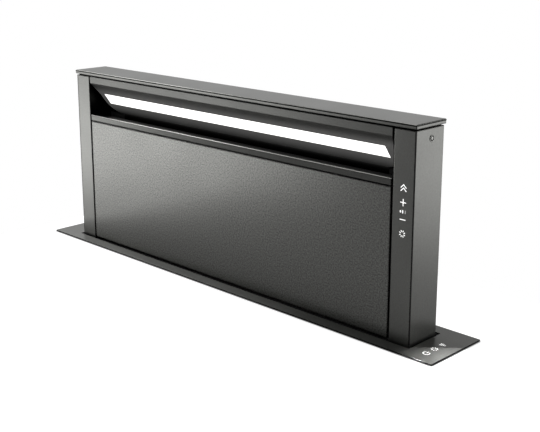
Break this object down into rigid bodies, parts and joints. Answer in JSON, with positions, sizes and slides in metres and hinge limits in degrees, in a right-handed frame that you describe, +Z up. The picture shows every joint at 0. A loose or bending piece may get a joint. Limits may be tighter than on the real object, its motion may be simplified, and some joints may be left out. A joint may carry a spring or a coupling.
{
  "type": "downdraft vent",
  "caption": "Flat extractor tower with an intake slot and a light strip that rises through a slotted cover plate in a worktop, driven by racks from a chassis with a blower below.",
  "frame": {"origin": "middle of the worktop cut-out, at the level of the worktop's surface", "axes": "+Z up out of the worktop, +X towards the right end with the touch icons, -Y towards the cook, whom the front panel faces"},
  "size_m": [0.898, 0.292, 1.0215],
  "materials": {
    "anthracite_front": "satin",
    "anthracite_sheet": "satin",
    "galvanised": "matte",
    "steel": "satin",
    "aluminium": "satin",
    "diffuser": "matte",
    "board": "matte",
    "black_plastic": "matte",
    "white_plastic": "matte",
    "grey_plastic": "matte",
    "rubber": "matte",
    "zinc_screw": "bright zinc",
    "motor_steel": "satin",
    "magnet": "satin"
  },
  "bodies": {
    "chassis": {"cover_plate": "anthracite_front", "plate_gasket": "rubber", "worktop_frame": "galvanised", "touch_foil": "board", "chassis_end_left": "galvanised", "chassis_end_right": "galvanised", "chassis_front_panel": "galvanised", "chassis_back_panel": "galvanised", "chassis_floor": "galvanised", "chassis_screws": "zinc_screw", "foot_brackets": "steel", "clamp_brackets": "steel", "clamp_screws": "zinc_screw", "guide_rail_left": "steel", "guide_rail_right": "steel", "shaft_bearings": "black_plastic", "lift_gearbox": "black_plastic", "lift_motor": "motor_steel", "blower_scroll": "grey_plastic", "blower_inlet_plate": "galvanised", "blower_back_plate": "galvanised", "blower_motor": "motor_steel", "blower_screws": "zinc_screw", "outlet_collar": "black_plastic", "damper_pin": "steel", "control_box": "grey_plastic", "control_box_lid": "grey_plastic", "cable_grommet": "rubber"},
    "tower": {"top_cap": "anthracite_front", "pillar_left": "anthracite_front", "pillar_right": "anthracite_front", "cap_screws": "anthracite_sheet", "back_panel": "anthracite_sheet", "sill_rail": "anthracite_front", "magnet_catches": "magnet", "deflector": "anthracite_sheet", "lamp_channel": "aluminium", "led_board": "white_plastic", "light_diffuser": "diffuser", "filter_frame": "anthracite_sheet", "grease_filter_left": "aluminium", "grease_filter_right": "aluminium", "pillar_touch_board": "board", "lift_column_left": "galvanised", "lift_column_right": "galvanised", "rack_left": "black_plastic", "rack_right": "black_plastic", "bottom_crosspiece": "galvanised", "slide_carriage_left": "steel", "slide_carriage_right": "steel"},
    "panel": {"front_panel": "anthracite_front", "panel_liner": "anthracite_sheet", "panel_hinge_pins": "steel"},
    "ball_cages": {"ball_cages": "steel"},
    "drive_shaft": {"cross_shaft": "steel", "pinions": "black_plastic"},
    "fan": {"impeller": "black_plastic", "fan_shaft": "steel"},
    "front_flap": {"damper_flap_front": "grey_plastic"},
    "back_flap": {"damper_flap_back": "grey_plastic"}
  },
  "joints": [
    {"name": "lift", "type": "slide", "parent": "chassis", "child": "tower", "axis": [0, 0, 1], "range_m": [-0.319, 0]},
    {"name": "panel_tilt", "type": "hinge", "parent": "tower", "child": "panel", "pos_m": [0, -0.03, 0.0105], "axis": [1, 0, 0], "range_deg": [0, 60]},
    {"name": "fan_spin", "type": "hinge", "parent": "chassis", "child": "fan", "pos_m": [-0.12, 0.12, -0.5], "axis": [0, 1, 0], "continuous": true},
    {"name": "front_flap_swing", "type": "hinge", "parent": "chassis", "child": "front_flap", "pos_m": [-0.358, 0.1332, -0.58], "axis": [0, 0, -1], "range_deg": [0, 75]},
    {"name": "back_flap_swing", "type": "hinge", "parent": "chassis", "child": "back_flap", "pos_m": [-0.358, 0.1332, -0.58], "axis": [0, 0, 1], "range_deg": [0, 75]},
    {"name": "shaft_turn", "type": "hinge", "parent": "chassis", "child": "drive_shaft", "pos_m": [0, 0.0385, -0.34], "axis": [1, 0, 0], "range_deg": [0, 1830]},
    {"name": "cage_travel", "type": "slide", "parent": "chassis", "child": "ball_cages", "axis": [0, 0, 1], "range_m": [-0.16, 0]}
  ],
  "couplings": [
    {"joint": "shaft_turn", "follows": "lift", "rad_per_m": -100},
    {"joint": "cage_travel", "follows": "lift", "ratio": 0.5}
  ]
}
